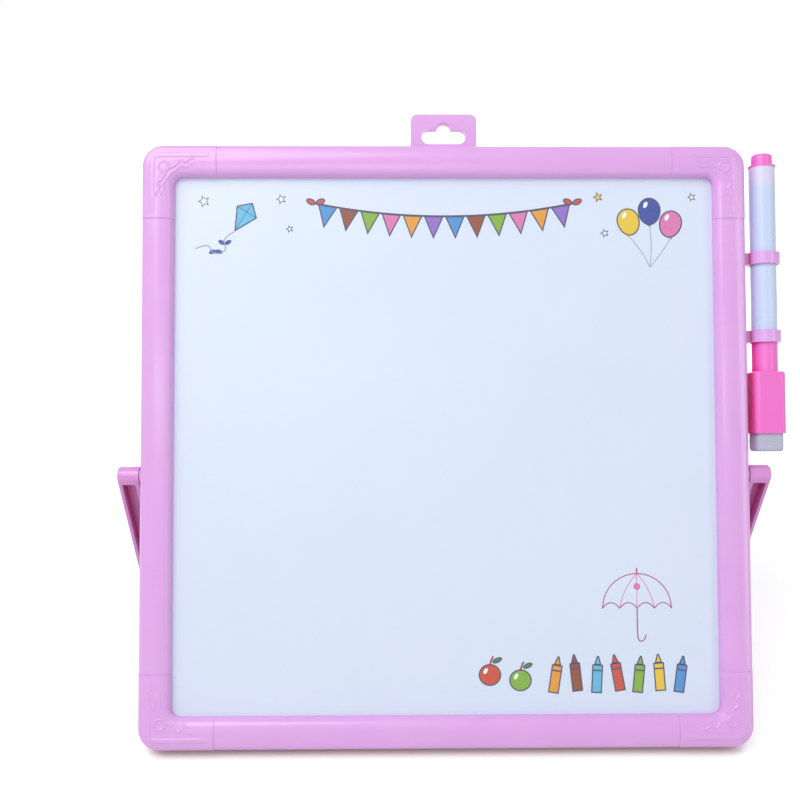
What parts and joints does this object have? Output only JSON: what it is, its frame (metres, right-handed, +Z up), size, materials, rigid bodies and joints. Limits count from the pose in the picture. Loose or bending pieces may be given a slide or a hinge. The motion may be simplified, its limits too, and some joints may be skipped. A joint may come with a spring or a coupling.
{
  "type": "whiteboard with clock",
  "caption": "Square child's dry-wipe board in a rounded moulded frame, with folding prop legs, a clipped pen with an eraser cap, a hanging tab and a teaching clock on its back.",
  "frame": {"origin": "middle of the object's footprint box, on the surface that it stands on", "axes": "+Z up, +X to the right as seen from the front (towards the pen), front towards -Y; the board leans back towards +Y"},
  "size_m": [0.3086, 0.1212, 0.2737],
  "materials": {
    "frame_lilac": "glossy moulded",
    "hot_pink": "glossy moulded",
    "dry_wipe_white": "smooth",
    "dial_white": "satin",
    "core_fibreboard": "raw",
    "screw_steel": "zinc plated",
    "pen_white": "glossy moulded",
    "ink_fibre": "soaked fibre",
    "nib_black": "pressed felt",
    "felt_grey": "felt",
    "hand_violet": "glossy moulded"
  },
  "bodies": {
    "board": {"front_frame": "frame_lilac", "back_frame": "frame_lilac", "whiteboard_sheet": "dry_wipe_white", "core_board": "core_fibreboard", "clock_sheet": "dial_white", "frame_screws": "screw_steel", "upper_pen_ring": "frame_lilac", "lower_pen_ring": "frame_lilac", "clock_pin": "pen_white", "hub_cap": "pen_white"},
    "left_prop": {"left_leg": "frame_lilac"},
    "right_prop": {"right_leg": "frame_lilac"},
    "pen": {"pen_barrel": "pen_white", "pen_end_plug": "hot_pink", "ink_reservoir": "ink_fibre", "nib_holder": "pen_white", "pen_nib": "nib_black"},
    "cap": {"pen_cap": "hot_pink", "felt_eraser": "felt_grey"},
    "hour": {"hour_hand": "hot_pink"},
    "minute": {"minute_hand": "hand_violet"}
  },
  "joints": [
    {"name": "left_leg_fold", "type": "hinge", "parent": "board", "child": "left_prop", "pos_m": [-0.1492, -0.00755, 0.11666], "axis": [-1, 0, 0], "range_deg": [0, 42]},
    {"name": "right_leg_fold", "type": "hinge", "parent": "board", "child": "right_prop", "pos_m": [0.1428, -0.00755, 0.11666], "axis": [-1, 0, 0], "range_deg": [0, 42]},
    {"name": "hour_hand_turn", "type": "hinge", "parent": "board", "child": "hour", "pos_m": [-0.0032, 0.00033, 0.1291], "axis": [0, -0.926, 0.3776], "continuous": true},
    {"name": "minute_hand_turn", "type": "hinge", "parent": "board", "child": "minute", "pos_m": [-0.0032, 0.00033, 0.1291], "axis": [0, -0.926, 0.3776], "continuous": true},
    {"name": "pen_slide", "type": "slide", "parent": "board", "child": "pen", "axis": [0, 0.3776, 0.926], "range_m": [0, 0.08]},
    {"name": "cap_slide", "type": "slide", "parent": "board", "child": "cap", "axis": [0, -0.3776, -0.926], "range_m": [0, 0.0054]}
  ]
}
